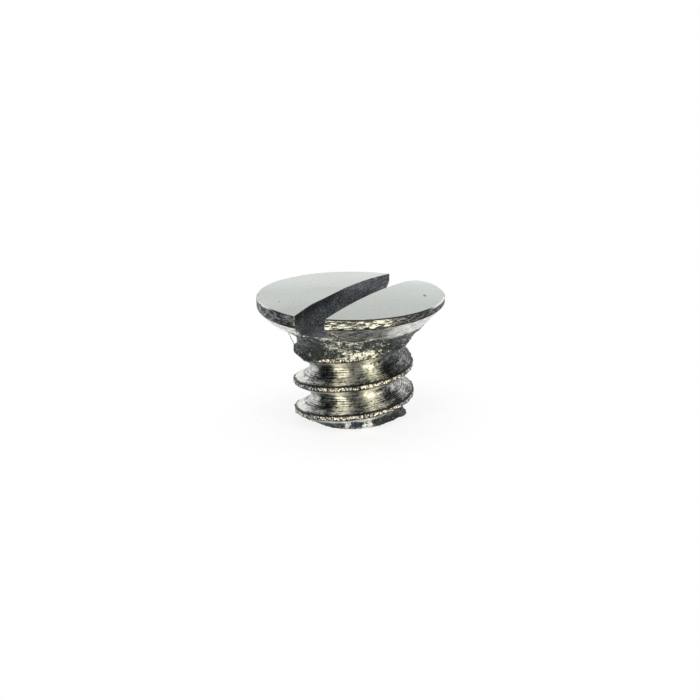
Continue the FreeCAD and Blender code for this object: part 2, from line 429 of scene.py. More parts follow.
def grid_faces(count, first, last, shift):
    """Quads between the rows. The shank's rows join one turn higher where the ring closes."""
    faces = []
    for row in range(count - 1):
        step = shift if first <= row < last else 0
        for column in range(COLUMNS):
            after = (column + 1) % COLUMNS
            low, high = row, row + 1
            if after == 0 and step:
                low = min(low + step, last)
                high = min(high + step, last)
            faces.append((row * COLUMNS + column, low * COLUMNS + after,
                          high * COLUMNS + after, (row + 1) * COLUMNS + column))
    return faces


def tube_faces(rings, across):
    """Quads between rings of points, with a face over each end."""
    faces = []
    for ring in range(rings - 1):
        low, high = ring * across, (ring + 1) * across
        for place in range(across):
            after = (place + 1) % across
            faces.append((low + place, high + place, high + after, low + after))
    faces.append(tuple(range(across)))
    faces.append(tuple((rings - 1) * across + place for place in reversed(range(across))))
    return faces


def in_scene(name, data):
    """A new object with its data."""
    made = bpy.data.objects.new(name, data)
    bpy.context.scene.collection.objects.link(made)
    return made


def new_piece(name, points, faces):
    """A mesh object from points in millimetres."""
    mesh = bpy.data.meshes.new(name)
    mesh.from_pydata((np.asarray(points) * MM).tolist(), [], faces)
    return in_scene(name, mesh)


def closed_up(piece, distance=0.0):
    """Turn the faces outward, after joining points that lie within a distance."""
    work = bmesh.new()
    work.from_mesh(piece.data)
    if distance:
        bmesh.ops.remove_doubles(work, verts=work.verts, dist=distance * MM)
        bmesh.ops.dissolve_degenerate(work, edges=work.edges, dist=distance * MM)
    bmesh.ops.recalc_face_normals(work, faces=work.faces)
    work.to_mesh(piece.data)
    work.free()


def places_of(items, name):
    """Places in millimetres and normals of the points or the faces of a mesh."""
    places = np.empty(len(items) * 3)
    normals = np.empty(len(items) * 3)
    items.foreach_get(name, places)
    items.foreach_get("normal", normals)
    return places.reshape(-1, 3) / MM, normals.reshape(-1, 3)


def rough_zone(places):
    """1 where the metal is torn and smeared: the neck, the slot's near mouth and the tip."""
    x, y, z = places.T
    bearing = np.arctan2(y, x)
    top = np.full(len(x), ROUGH_TOP)
    for middle, reach, rise in ROUGH_RISES:
        top += rise * np.exp(-(turned_from(bearing, middle) / math.radians(reach)) ** 4)
    wear_and_painted_light = z + rough(places, ZONE_WANDER)
    zone = 1 - smooth_mask(wear_and_painted_light, top - 0.012, top + 0.012)
    middle, reach, drop = ROUGH_DROP
    foot = ROUGH_FOOT - drop * np.exp(-(turned_from(bearing, middle) / math.radians(reach)) ** 4)
    zone *= smooth_mask(z, foot, foot + 0.025)
    tip = 1 - smooth_mask(z + rough(places, TIP_WANDER), TIP_TOP - 0.01, TIP_TOP + 0.01)
    return np.maximum(zone, TIP_SHARE * tip)


def bevel_highlight(places):
    """1 on the bevel round the crown, where a highlight is painted."""
    x, y, z = places.T
    crown = crown_over(np.arctan2(y, x), HEAD_RADIUS)
    outermost = np.hypot(x, y) > HEAD_RADIUS - EDGE_BEVEL * 1.05
    return outermost * smooth_mask(z, crown - EDGE_BEVEL * 1.2, crown - EDGE_BEVEL * 0.8)


def head_relief(places, radius, crown):
    """Tool marks on the rim, and chips along both of its edges."""
    z = places[:, 2]
    rim = smooth_mask(z, CONE_TOP - EASE, CONE_TOP + EASE)
    rim *= smooth_mask(radius, HEAD_RADIUS - EASE * 1.5, HEAD_RADIUS - EASE / 2)
    relief = rim * (rough(places * RIM_DRAWN, RIM_STREAKS) + gritty(places, RIM_GRIT))
    edge = np.exp(-((z - crown + EDGE_BEVEL * 0.4) / EDGE_SPREAD) ** 2) * (radius > EDGE_REGION)
    chips = ragged(places, EDGE_CHIPS.cell, EDGE_CHIPS.seed) - 0.35
    relief -= edge * EDGE_CHIPS.strength * np.clip(chips, 0, 1)
    lip = np.exp(-((z - CONE_TOP) / EDGE_SPREAD) ** 2) * (radius > EDGE_REGION)
    chips = ragged(places, LIP_CHIPS.cell, LIP_CHIPS.seed)
    return relief - lip * LIP_CHIPS.strength * np.clip(chips, 0, 1.5)


def surface_relief(places):
    """How far each point stands out or in, in millimetres, from tool marks and burrs."""
    x, y, z = places.T
    radius = np.hypot(x, y)
    crown = crown_over(np.arctan2(y, x), np.minimum(radius, HEAD_RADIUS))
    relief = head_relief(places, radius, crown)

    lumpy = rough_zone(places) * (z < CONE_TOP - EASE)
    cone = (1 - lumpy) * smooth_mask(z, CONE_FOOT, CONE_FOOT + EASE * 5)
    cone *= 1 - smooth_mask(z, CONE_TOP - EASE * 3, CONE_TOP - EASE)
    relief += cone * rough(places * CONE_DRAWN, CONE_MARKS)
    lumpy *= smooth_mask(z, 0.001, EASE * 3)
    relief += lumpy * (rough(places, LUMPS) - 0.3 * LUMPS.strength + gritty(places, LUMP_GRIT))

    shank = 1 - smooth_mask(z, CONE_FOOT - 0.06, CONE_FOOT - 0.03)
    outer = smooth_mask(radius, THREAD_RADIUS - EASE * 5, THREAD_RADIUS - EASE * 1.5) * shank
    crest = rough(places, CREST_LUMPS) - 0.2 * CREST_LUMPS.strength + gritty(places, CREST_GRIT)
    return relief + outer * crest + shank * (1 - outer) * gritty(places, FLANK_GRIT)


def torn_out(points):
    """Push the torn lumps straight out from the axis."""
    angle = np.arctan2(points[:, 1], points[:, 0])
    radius = np.maximum(np.hypot(points[:, 0], points[:, 1]), 1e-6)
    out = np.zeros(len(points))
    for bearing, height, reach, rise, size in TORN_PLACES:
        turn = turned_from(angle, bearing)
        spread = (turn * THREAD_RADIUS / reach) ** 4 + ((points[:, 2] - height) / rise) ** 4
        out += size * np.exp(-spread) * (1 + rough(points, TORN_LUMPS))
    points[:, :2] *= (1 + out / radius)[:, None]
    return points


def notched(points):
    """Cut the torn notch in the neck at the photo's left, below the slot's near mouth."""
    toward = np.array(TO_CAMERA)
    left = -np.array(TO_RIGHT)
    aside = points @ left
    level = points[:, 2] - NOTCH_TILT[0] * (points @ toward) - NOTCH_TILT[1] * aside
    limit = np.interp(level, NOTCH_LEVELS, NOTCH_REACH, left=FULL_REACH, right=FULL_REACH)
    limit = limit + rough(points, NOTCH_WANDER)
    shank = (points[:, 2] > NOTCH_LOWEST) & (points[:, 2] < CONE_TOP - 0.01)
    over = np.where(shank, np.maximum(aside - limit, 0), 0)
    return points - over[:, None] * left


def worn_edge(points):
    """Let the crown and the rim's foot sink or rise a little at the worn spots."""
    level = points[:, 2]
    head = smooth_mask(level, CONE_TOP - 0.05, CONE_TOP - 0.005)
    share = smooth_mask(level, CONE_TOP, CROWN_EDGE - 0.01)
    drop = np.zeros(len(points))
    for x, y, reach, crown_drop, foot_drop in WORN_SPOTS:
        away = np.hypot(points[:, 0] - x, points[:, 1] - y) / reach
        drop += head * np.exp(-away ** 2) * (foot_drop + (crown_drop - foot_drop) * share)
    points[:, 2] -= drop
    return points


def in_place(points):
    """Keep the relief inside the outside of the part."""
    radius = np.maximum(np.hypot(points[:, 0], points[:, 1]), 1e-9)
    head = points[:, 2] > CONE_FOOT + 0.2
    scale = np.where(head, np.minimum(1, HEAD_RADIUS / radius), 1.0)
    points[:, :2] *= scale[:, None]
    points[:, 2] = np.clip(points[:, 2], 0, OVERALL_LENGTH)
    return points


def wall_section(wall, outward, top):
    """Points up one wall of the slot, over its broken brink and on to the cutter's top."""
    height = top - WALL_BREAK - SLOT_FLOOR
    points = [(wall, SLOT_FLOOR + height * part) for part in np.linspace(0, 1, WALL_POINTS)[1:]]
    points.append((wall + outward * BRINK_OUT, top + BRINK_UP))
    points.append((wall + outward * CUTTER_OUT, CUTTER_TOP))
    return points


def slot_sections():
    """Sections of what the slot takes away, from past one mouth to past the other."""
    mouth = np.linspace(MOUTH_INSIDE, MOUTH_OUTSIDE, MOUTH_STATIONS)
    half = np.concatenate([mouth, OUTER_STATIONS])
    middle = np.linspace(-SLOT_MIDDLE, SLOT_MIDDLE, MIDDLE_STATIONS)
    floor = [(NEAR_WALL + SLOT_WIDTH * part, SLOT_FLOOR)
             for part in np.linspace(0, 1, FLOOR_POINTS)]
    sections = []
    for x in np.concatenate([-half[::-1], middle, half]):
        over = max(min(x, LAST_CROWN), -LAST_CROWN)
        far = wall_section(FAR_WALL, 1, dome_height(over, FAR_WALL))
        near = wall_section(NEAR_WALL, -1, dome_height(over, NEAR_WALL))
        sections.append([(x, y, z) for y, z in floor + far + near[::-1]])
    return np.array(sections)


def slot_cutter():
    """What the slot takes away, with rippled walls and worn mouths."""
    sections = slot_sections()
    points = sections.reshape(-1, 3)
    x, y, z = points.T
    on_far = np.abs(y - FAR_WALL) < 1e-6
    on_near = np.abs(y - NEAR_WALL) < 1e-6
    side = on_far * 1.0 - on_near
    y += side * rough(points * WALL_DRAWN, WALL_RIPPLE)
    broken = smooth_mask(np.abs(x), *RAGGED_MOUTH)
    broken *= RAGGED_MEAN + rough(points, MOUTH_BREAKS)
    y += side * RAGGED_SIZE * broken
    y -= on_near * smooth_mask(x, *ROUNDED_MOUTH) * ROUNDED_SIZE
    bottom = np.abs(z - SLOT_FLOOR) < 1e-6
    z += bottom * rough(points * FLOOR_DRAWN, FLOOR_MARKS)
    mouth = bottom * smooth_mask(-x, *LUMPY_MOUTH)
    z += mouth * rough(points, MOUTH_LUMPS)
    cutter = new_piece("slot_cutter", points, tube_faces(*sections.shape[:2]))
    closed_up(cutter)
    return cutter


def cut_away(piece, cutter):
    """Cut the slot and apply the result to the mesh."""
    cut = piece.modifiers.new("slot", "BOOLEAN")
    cut.operation = "DIFFERENCE"
    cut.solver = "EXACT"
    cut.object = cutter
    graph = bpy.context.evaluated_depsgraph_get()
    result = bpy.data.meshes.new_from_object(piece.evaluated_get(graph))
    piece.modifiers.clear()
    old = piece.data
    piece.data = result
    bpy.data.meshes.remove(old)
    bpy.data.objects.remove(cutter)


def turned_screw():
    """The whole screw: turned grid, relief and wear, then the slot."""
    grid, first, last, shift = turned_grid()
    faces = grid_faces(len(grid), first, last, shift)
    piece = new_piece("turned_screw", grid.reshape(-1, 3), faces)
    closed_up(piece, WELD)
    places, normals = places_of(piece.data.vertices, "co")
    moved = notched(torn_out(places + normals * surface_relief(places)[:, None]))
    moved = in_place(worn_edge(moved))
    piece.data.vertices.foreach_set("co", (moved * MM).ravel())
    piece.data.update()
    cut_away(piece, slot_cutter())
    return piece


def sliver_line(route, spots):
    """Points along a route with its corners smoothed."""
    line = np.stack([np.interp(spots, np.arange(len(route)), route[:, part])
                     for part in range(3)], axis=-1)
    for _ in range(SLIVER_ROUNDS):
        line[1:-1] = (line[:-2] + line[1:-1] * 2 + line[2:]) / 4
    return line


def torn_sliver(burr):
    """A thin curled sliver of metal along a route, with ragged sections and lumps."""
    bearing, radius, height = np.array(burr.route).T
    route = around(radius, np.radians(bearing), height)
    steps = SLIVER_STEPS * (len(route) - 1)
    spots = np.linspace(0, len(route) - 1, steps + 1)
    line = sliver_line(route, spots)
    size = np.interp(spots, np.arange(len(route)), burr.widths)
    lumps = 1 + burr.lumps * ragged(line, SLIVER_LUMP_CELL, burr.seed + 9)
    size = size * np.clip(lumps, SLIVER_THINNEST, SLIVER_THICKEST)
    ways = np.gradient(line, axis=0)
    ways /= np.linalg.norm(ways, axis=1)[:, None]
    aside = np.cross(ways, [0.0, 0.0, 1.0]) + np.array([1e-6, 0.0, 0.0])
    aside /= np.linalg.norm(aside, axis=1)[:, None]
    above = np.cross(ways, aside)
    across = len(SLIVER_CORNERS)
    corners = []
    for corner, share in enumerate(SLIVER_CORNERS):
        angle = TURN * corner / across
        outward = math.cos(angle) * aside + math.sin(angle) * above
        corners.append(line + size[:, None] * share * outward)
    points = np.stack(corners, axis=1).reshape(-1, 3)
    uneven = np.array([ragged(points, SLIVER_CELL, burr.seed + part) for part in range(3)]).T
    points += SLIVER_RAGGED * np.repeat(size, across)[:, None] * uneven
    sliver = new_piece(burr.name, points, tube_faces(steps + 1, across))
    closed_up(sliver, SLIVER_WELD)
    for face in sliver.data.polygons:
        face.use_smooth = True
    sliver.data.materials.append(burr_steel(burr))
    return sliver


def coloured(value):
    """A colour with its alpha, or the value as it is."""
    return (*value, 1.0) if isinstance(value, tuple) else value


class Nodes:
    """Small helper that adds nodes to a material or world and joins them."""

    def __init__(self, tree):
        self.tree = tree
        tree.nodes.clear()

    def add(self, kind, inputs=None, **settings):
        node = self.tree.nodes.new("ShaderNode" + kind)
        for name, value in settings.items():
            setattr(node, name, value)
        for name, value in (inputs or {}).items():
            self.put(node, name, value)
        return node

    def put(self, node, name, value):
        socket = node.inputs[name]
        if isinstance(value, bpy.types.NodeSocket):
            self.tree.links.new(value, socket)
        else:
            socket.default_value = value

    def maths(self, operation, *values, clamp=False):
        inputs = dict(enumerate(values))
        return self.add("Math", inputs, operation=operation, use_clamp=clamp).outputs[0]

    # The line takes a value, a slope and a start.
    plus = partialmethod(maths, "ADD")
    minus = partialmethod(maths, "SUBTRACT")
    times = partialmethod(maths, "MULTIPLY")
    size_of = partialmethod(maths, "ABSOLUTE")
    line = partialmethod(maths, "MULTIPLY_ADD")

    def between(self, value, low, high, out_low=0.0, out_high=1.0):
        """Eased from out_low at low to out_high at high."""
        inputs = {"Value": value, "From Min": low, "From Max": high,
                  "To Min": out_low, "To Max": out_high}
        return self.add("MapRange", inputs, interpolation_type="SMOOTHSTEP").outputs["Result"]

    def noise(self, vector, scale, detail, roughness):
        inputs = {"Vector": vector, "Scale": scale, "Detail": detail, "Roughness": roughness}
        return self.add("TexNoise", inputs).outputs["Fac"]

    def mix(self, factor, first, second):
        inputs = {0: factor, 6: coloured(first), 7: coloured(second)}
        return self.add("Mix", inputs, data_type="RGBA").outputs[2]

    def vectors(self, operation, *values, output="Vector"):
        inputs = dict(enumerate(values))
        return self.add("VectorMath", inputs, operation=operation).outputs[output]

    scaled = partialmethod(vectors, "MULTIPLY")

    def dot(self, vector, direction):
        return self.vectors("DOT_PRODUCT", vector, tuple(direction), output="Value")

    def axes(self, vector):
        return self.add("SeparateXYZ", {"Vector": vector}).outputs

    def vector(self, x, y, z=0.0):
        return self.add("CombineXYZ", {"X": x, "Y": y, "Z": z}).outputs[0]

    def bump(self, height, distance, normal=None):
        inputs = {"Height": height, "Distance": distance * MM, "Strength": 1.0}
        if normal:
            inputs["Normal"] = normal
        return self.add("Bump", inputs).outputs["Normal"]

    def attribute(self, name):
        return self.add("Attribute", attribute_name=name).outputs["Fac"]


def new_material(name):
    material = bpy.data.materials.new(name)
    material.use_nodes = True
    return material


class Steel(Nodes):
    """Nodes of a metal, which are driven by the place on the screw in millimetres."""

    def __init__(self, name):
        self.material = new_material(name)
        super().__init__(self.material.node_tree)
        self.surface = self.add("BsdfPrincipled", {"Metallic": 1.0})
        self.add("OutputMaterial", {"Surface": self.surface.outputs[0]})
        place = self.add("TexCoord").outputs["Object"]
        self.place = self.scaled(place, (1 / MM, 1 / MM, 1 / MM))
        self.level = self.axes(self.place)["Z"]
        plan = self.scaled(self.place, (1.0, 1.0, 0.0))
        self.radius = self.vectors("LENGTH", plan, output="Value")
        # Cosine and sine of the bearing away from the photo's side, the sine + to its right.
        way = self.vectors("NORMALIZE", plan)
        self.ahead = self.dot(way, TO_CAMERA)
        self.aside = self.dot(way, TO_RIGHT)

    def grain(self, scale, detail, roughness=0.55, drawn=None):
        """Noise on the metal, drawn out along the axes that have a small factor."""
        place = self.scaled(self.place, drawn) if drawn else self.place
        return self.noise(place, scale, detail, roughness)

    def brushed_round(self, amount):
        """Tool marks round the axis, which draw the highlights out along it."""
        self.put(self.surface, "Anisotropic", amount)
        self.put(self.surface, "Anisotropic Rotation", 0.25)
        tangent = self.add("Tangent", direction_type="RADIAL", axis="Z")
        self.put(self.surface, "Tangent", tangent.outputs[0])

    def finished(self, colour, marks, smoothest, roughest, normal):
        """The material, whose roughness follows its marks."""
        self.put(self.surface, "Base Color", colour)
        self.put(self.surface, "Roughness", self.between(marks, 0.3, 0.7, smoothest, roughest))
        self.put(self.surface, "Normal", normal)
        return self.material


def with_pits(nodes, fine, colour):
    """Small ragged pits painted over another colour, their dark a painted shade."""
    along = TO_CAMERA / PIT_STRETCH
    seen = nodes.vector(nodes.dot(nodes.place, along), nodes.dot(nodes.place, TO_RIGHT))
    for x, y, size in CROWN_PITS:
        middle = Vector((x, y, 0))
        away = nodes.vectors("DISTANCE", seen, (middle.dot(along), middle.dot(TO_RIGHT), 0.0),
                             output="Value")
        reach = nodes.plus(away, nodes.line(fine, size, -size / 2))
        colour = nodes.mix(nodes.between(reach, size * 0.5, size, 0.85, 0.0), colour, PIT_SHADE)
    return colour


def with_bevel_highlight(nodes, colour):
    """Painted highlight on the bevel round the crown at the sides and painted shade on it in front,
    over another colour.
    """
    ahead = nodes.ahead
    metal = nodes.mix(nodes.between(ahead, 0.45, 0.60), EDGE_HIGHLIGHT, EDGE_SHADE)
    wear_and_painted_light = nodes.times(nodes.attribute("bevel_highlight"), nodes.between(ahead, 0.0, 0.15))
    return nodes.mix(wear_and_painted_light, colour, metal)


def crown_steel():
    """Polished steel with faint clouds, specks and pits."""
    nodes = Steel("polished_crown")
    cloud = nodes.grain(1.6, 2.0)
    specks = nodes.between(nodes.grain(26.0, 1.0), 0.76, 0.80)
    colour = nodes.mix(cloud, *CROWN_TONES)
    colour = nodes.mix(nodes.times(specks, 0.35), colour, CROWN_SPECK)
    fine = nodes.grain(75.0, 2.0, 0.6)
    colour = nodes.mix(nodes.between(fine, 0.25, 0.75, 0.0, 0.5), colour, CROWN_GRAIN)
    colour = with_bevel_highlight(nodes, with_pits(nodes, fine, colour))
    lapped = nodes.grain(30.0, 2.0, drawn=(1.0, 7.0, 1.0))
    return nodes.finished(colour, cloud, 0.22, 0.30, nodes.bump(lapped, 0.00015))


def side_shade(nodes, inner, outer):
    """1 at the two sides where shade is painted on the metal, 0 in front and at the back."""
    ahead = nodes.ahead
    return nodes.times(nodes.between(ahead, outer, inner, 1.0, 0.0),
                       nodes.between(ahead, -0.5, -0.1))


def with_lip_line(nodes, colour):
    """The dark line where the rim meets the cone, over another colour."""
    wander = nodes.line(nodes.grain(14.0, 2.0), 0.012, -0.006)
    away = nodes.size_of(nodes.minus(nodes.plus(nodes.level, wander), CONE_TOP))
    return nodes.mix(nodes.between(away, 0.004, 0.010, 0.92, 0.0), colour, LIP_DARK)


def rim_steel():
    """Steel turned in streaks, with painted shade at both sides, lighter at the left than at the
    right.
    """
    nodes = Steel("turned_rim")
    streaks = nodes.grain(75.0, 6.0, 0.75, drawn=(0.22, 0.22, 1.3))
    grit = nodes.grain(70.0, 5.0, 0.7)
    aside = nodes.aside
    side_shaded = side_shade(nodes, 0.955, 0.88)
    wear_and_painted_light = nodes.mix(nodes.between(aside, -0.4, -0.1), RIM_LEFT_SHADE, RIM_SIDE_SHADE)
    bright = nodes.mix(side_shaded, RIM_BRIGHT, wear_and_painted_light)
    colour = nodes.mix(nodes.between(streaks, 0.489, 0.556), RIM_DARK, bright)
    leaning = nodes.between(aside, -0.2, 0.2, -0.05, 0.018)
    grainy = nodes.plus(grit, nodes.times(side_shaded, leaning))
    flecks = nodes.mix(side_shaded, bright, RIM_FLECK)
    colour = nodes.mix(nodes.between(grainy, 0.60, 0.66), colour, flecks)
    colour = with_bevel_highlight(nodes, with_lip_line(nodes, colour))
    return nodes.finished(colour, grit, 0.32, 0.55, nodes.bump(streaks, 0.005))


def torn_lumps(nodes):
    """Noise that the colour and the bumps of torn metal share."""
    return nodes.grain(30.0, 6.0, 0.75, drawn=(1.0, 1.0, 1.5))


def tip_painted_light(nodes):
    """Shift of the torn grain at the tip: two painted highlights, standing in for reflections of the
    bright strips, and a darker left side.
    """
    aside = nodes.aside
    left = nodes.between(nodes.size_of(nodes.plus(aside, 0.15)), 0.03, 0.16, 0.18, -0.025)
    right = nodes.between(nodes.size_of(nodes.minus(aside, 0.29)), 0.04, 0.20, 0.17, -0.02)
    darkened = nodes.between(aside, -0.60, -0.35, -0.045, 0.0)
    tip = nodes.between(nodes.level, 0.10, 0.14, 1.0, 0.0)
    return nodes.times(nodes.plus(nodes.plus(left, right), darkened), tip)


def torn_colour(nodes):
    """Dark smeared metal with bright torn facets, in patches, fewer at the sides where shade is
    painted, and with painted highlights at the tip.
    """
    patches = nodes.times(nodes.minus(nodes.grain(8.0, 2.0), 0.545), 0.5)
    lumps = nodes.plus(torn_lumps(nodes), patches)
    lumps = nodes.minus(lumps, nodes.times(side_shade(nodes, 0.95, 0.80), 0.07))
    lumps = nodes.plus(lumps, tip_painted_light(nodes))
    torn = nodes.mix(nodes.between(lumps, 0.48, 0.60), *TORN_TONES)
    flecks = nodes.between(nodes.grain(85.0, 3.0, 0.7), 0.60, 0.68, 0.0, 0.55)
    return nodes.mix(flecks, torn, TORN_FLECK)


def torn_bump(nodes, under):
    """Lumps of the torn metal over another normal."""
    zone = nodes.attribute("rough_zone")
    return nodes.bump(nodes.times(torn_lumps(nodes), zone), 0.012, under)


def cone_steel():
    """Steel turned in fine rings, with painted shade in front."""
    nodes = Steel("turned_cone")
    rings = nodes.grain(100.0, 4.0, 0.75, drawn=(0.14, 0.14, 1.0))
    turned = nodes.mix(nodes.between(rings, 0.36, 0.66), *CONE_TONES)
    front_shade = nodes.mix(nodes.between(rings, 0.45, 0.58), *CONE_SHADED_FRONT_TONES)
    darkened = nodes.between(nodes.ahead, 0.86, 0.96, 0.0, 0.90)
    turned = nodes.mix(darkened, turned, front_shade)
    streaked = nodes.times(nodes.between(rings, 0.40, 0.52, 0.8, 0.0),
                           nodes.between(nodes.aside, -0.75, -0.55, 1.0, 0.0))
    turned = nodes.mix(streaked, turned, CONE_STREAK)
    turned = with_lip_line(nodes, turned)
    colour = nodes.mix(nodes.attribute("rough_zone"), turned, torn_colour(nodes))
    nodes.brushed_round(0.2)
    normal = torn_bump(nodes, nodes.bump(rings, 0.0014))
    return nodes.finished(colour, rings, 0.20, 0.32, normal)


def thread_winding(nodes):
    """Angle that grows up the thread and stays the same along it."""
    x, y, z = nodes.axes(nodes.place)
    return nodes.minus(nodes.times(z, TURN / THREAD_PITCH), nodes.maths("ARCTAN2", y, x))


def thread_scratches(nodes, winding):
    """Fine scratches that run along the thread."""
    x, y, _ = nodes.axes(nodes.place)
    wound = nodes.vector(nodes.plus(nodes.maths("COSINE", winding), nodes.times(x, 0.6)),
                         nodes.plus(nodes.maths("SINE", winding), nodes.times(y, 0.6)),
                         nodes.times(nodes.radius, 5.0))
    return nodes.noise(wound, 16.0, 4.0, 0.75)


def crest_masks(nodes, winding):
    """1 on the crest of the thread, and 1 on the crest with the dark line beside it."""
    start = LAST_GROOVE_HEIGHT / THREAD_PITCH - LAST_GROOVE / TURN + 0.5
    phase = nodes.maths("DIVIDE", winding, TURN)
    from_crest = nodes.maths("PINGPONG", nodes.minus(phase, start), 0.5)
    wander = nodes.line(nodes.grain(30.0, 2.0), 0.05, -0.025)
    from_crest = nodes.plus(from_crest, wander)
    outside = nodes.between(nodes.radius, THREAD_RADIUS - 0.06, THREAD_RADIUS - 0.04)
    lined = nodes.times(outside, nodes.between(from_crest, 0.10, 0.13, 1.0, 0.0))
    crest = nodes.times(outside, nodes.between(from_crest, 0.045, 0.065, 1.0, 0.0))
    return crest, lined


def flank_wear_and_painted_light(nodes):
    """Shift of the scratches' tone over the flanks: blotches and pits, lighter at the far left,
    painted shade deep in the grooves at the left, a painted highlight in the middle, and darker at
    the right.
    """
    aside = nodes.aside
    blotches = nodes.times(nodes.minus(nodes.grain(11.0, 2.0), 0.5), 0.35)
    pits = nodes.times(nodes.minus(nodes.grain(48.0, 3.0, 0.7), 0.5), 0.38)
    low = nodes.between(nodes.level, 0.42, 0.50, 1.0, 0.0)
    edge = nodes.times(nodes.between(aside, 0.76, 0.86), low)
    darker_right = nodes.times(nodes.between(aside, 0.52, 0.70), nodes.minus(1.0, edge))
    far_left = nodes.between(aside, -0.88, -0.68, 0.105, 0.0)
    shaded = nodes.times(nodes.between(aside, -0.50, -0.32, 0.085, 0.0),
                         nodes.between(nodes.radius, 0.41, 0.46, 1.0, 0.0))
    # A painted highlight: the flanks a little lighter in the middle.
    middle = nodes.between(nodes.size_of(aside), 0.32, 0.50, 0.014, 0.0)
    lighter = nodes.plus(nodes.plus(blotches, pits), nodes.plus(far_left, middle))
    return nodes.minus(lighter, nodes.plus(nodes.times(darker_right, 0.09), shaded))


def thread_steel():
    """Steel scratched along the flanks, with beaded crests."""
    nodes = Steel("cut_thread")
    winding = thread_winding(nodes)
    scratches = thread_scratches(nodes, winding)
    crest, lined = crest_masks(nodes, winding)
    scored = nodes.plus(scratches, flank_wear_and_painted_light(nodes))
    flank = nodes.mix(nodes.between(scored, 0.43, 0.61), *FLANK_TONES)
    flank = nodes.mix(lined, flank, CREST_OUTLINE)
    grit = nodes.grain(70.0, 3.0, 0.65)
    beads = nodes.mix(nodes.between(grit, 0.48, 0.57), *CREST_TONES)
    torn = nodes.between(nodes.attribute("rough_zone"), 0.1, 0.75)
    colour = nodes.mix(torn, nodes.mix(crest, flank, beads), torn_colour(nodes))
    nodes.brushed_round(0.9)
    beaded = nodes.bump(nodes.times(grit, crest), 0.005, nodes.bump(scratches, 0.0022))
    return nodes.finished(colour, scratches, 0.29, 0.42, torn_bump(nodes, beaded))


def with_wall_shade_and_streaks(nodes, along, long_marks, colour):
    """Painted shade on the wall over another colour, darker far in and at its top, with dark streaks
    far in.
    """
    colour = nodes.mix(nodes.between(along, -0.2, 0.75, 0.0, 0.70), colour, WALL_FAR)
    colour = nodes.mix(nodes.between(along, -0.66, -0.45, 0.18, 0.0), colour, WALL_NEAR)
    brink = nodes.line(nodes.times(along, along), -0.07, OVERALL_LENGTH - 0.005)
    top = nodes.between(nodes.minus(brink, nodes.level), 0.0, 0.10, 0.76, 0.0)
    inward = nodes.between(along, -0.14, 0.12, 1.0, 0.15)
    colour = nodes.mix(nodes.times(top, inward), colour, WALL_TOP)
    streaks = nodes.times(nodes.between(long_marks, 0.46, 0.54, 0.6, 0.0),
                          nodes.between(along, 0.15, 0.50))
    return nodes.mix(streaks, colour, WALL_STREAK)


def slot_steel():
    """Steel with grainy walls and a floor milled along the slot."""
    nodes = Steel("milled_slot")
    along = nodes.axes(nodes.place)["X"]
    upright = nodes.grain(60.0, 3.0, 0.7, drawn=(1.0, 1.0, 0.35))
    long_marks = nodes.grain(60.0, 3.0, 0.7, drawn=(0.15, 1.0, 1.0))
    grit = nodes.grain(75.0, 3.0, 0.7)
    patches = nodes.grain(12.0, 2.0)
    mixed = nodes.plus(nodes.times(upright, 0.2), nodes.times(grit, 0.8))
    wall = nodes.mix(nodes.between(mixed, 0.42, 0.60), *WALL_TONES)
    floor = nodes.mix(nodes.between(long_marks, 0.35, 0.65), *MILLED_TONES)
    colour = nodes.mix(nodes.between(nodes.level, SLOT_FLOOR + 0.005, SLOT_FLOOR + 0.014),
                       floor, wall)
    specks = nodes.between(nodes.grain(34.0, 1.0), 0.67, 0.73)
    colour = nodes.mix(specks, colour, WALL_SPECK)
    colour = nodes.mix(nodes.between(patches, 0.56, 0.7), colour, WALL_PATCH)
    colour = with_wall_shade_and_streaks(nodes, along, long_marks, colour)
    ends = nodes.between(nodes.size_of(along), 0.752, 0.766)
    patchy = nodes.between(nodes.grain(42.0, 1.0), 0.46, 0.53, 1.0, 0.0)
    colour = nodes.mix(nodes.times(ends, patchy), colour, MOUTH_DARK)
    above_cone = nodes.minus(nodes.level, nodes.radius)
    cone = CONE_FOOT - THREAD_RADIUS
    burred = nodes.times(nodes.between(above_cone, cone + 0.004, cone + 0.020, 1.0, 0.0),
                         nodes.between(grit, 0.47, 0.54))
    colour = nodes.mix(burred, colour, MOUTH_BURRED)
    return nodes.finished(colour, patches, 0.38, 0.55, nodes.bump(mixed, 0.0020))


def end_steel():
    """Steel faced in rings."""
    nodes = Steel("faced_end")
    x, y, _ = nodes.axes(nodes.place)
    rings = nodes.vector(nodes.times(nodes.radius, 8.0), nodes.times(x, 0.4), nodes.times(y, 0.4))
    marks = nodes.noise(rings, 9.0, 4.0, 0.7)
    colour = nodes.mix(nodes.between(marks, 0.3, 0.7), *END_TONES)
    return nodes.finished(colour, marks, 0.28, 0.42, nodes.bump(marks, 0.0012))


def burr_steel(burr):
    """Torn metal of one burr, with dark and bright grain."""
    nodes = Steel(burr.metal)
    grit = nodes.grain(60.0, 3.0, 0.7)
    colour = nodes.mix(nodes.between(grit, *burr.grain), *BURR_TONES)
    return nodes.finished(colour, grit, 0.3, 0.5, nodes.bump(grit, 0.002))


def surface_index(places, facing):
    """Number of the surface that each face belongs to, in the order of give_materials."""
    crown, rim, cone, thread, slot, end = range(6)
    x, y, z = places.T
    up = facing[:, 2]
    radius = np.hypot(x, y)
    index = np.full(len(x), thread)
    index[z > CONE_FOOT - 0.01] = cone
    index[z > CONE_TOP] = rim
    high = z > CROWN_EDGE - 0.04
    index[high & (up > 0.8)] = crown
    index[(z < 0.003) & (up < -0.5)] = end
    between_walls = (y < FAR_WALL + 0.009) & (y > NEAR_WALL - 0.009) & (z > SLOT_FLOOR - 0.02)
    outward = (facing[:, 0] * x + facing[:, 1] * y) / np.maximum(radius, 1e-6)
    on_crown = high & (up > 0.9)
    on_rim = (radius > HEAD_RADIUS - 0.004) & (outward > 0.9)
    index[between_walls & ~on_crown & ~on_rim & (up > -0.3)] = slot
    return index


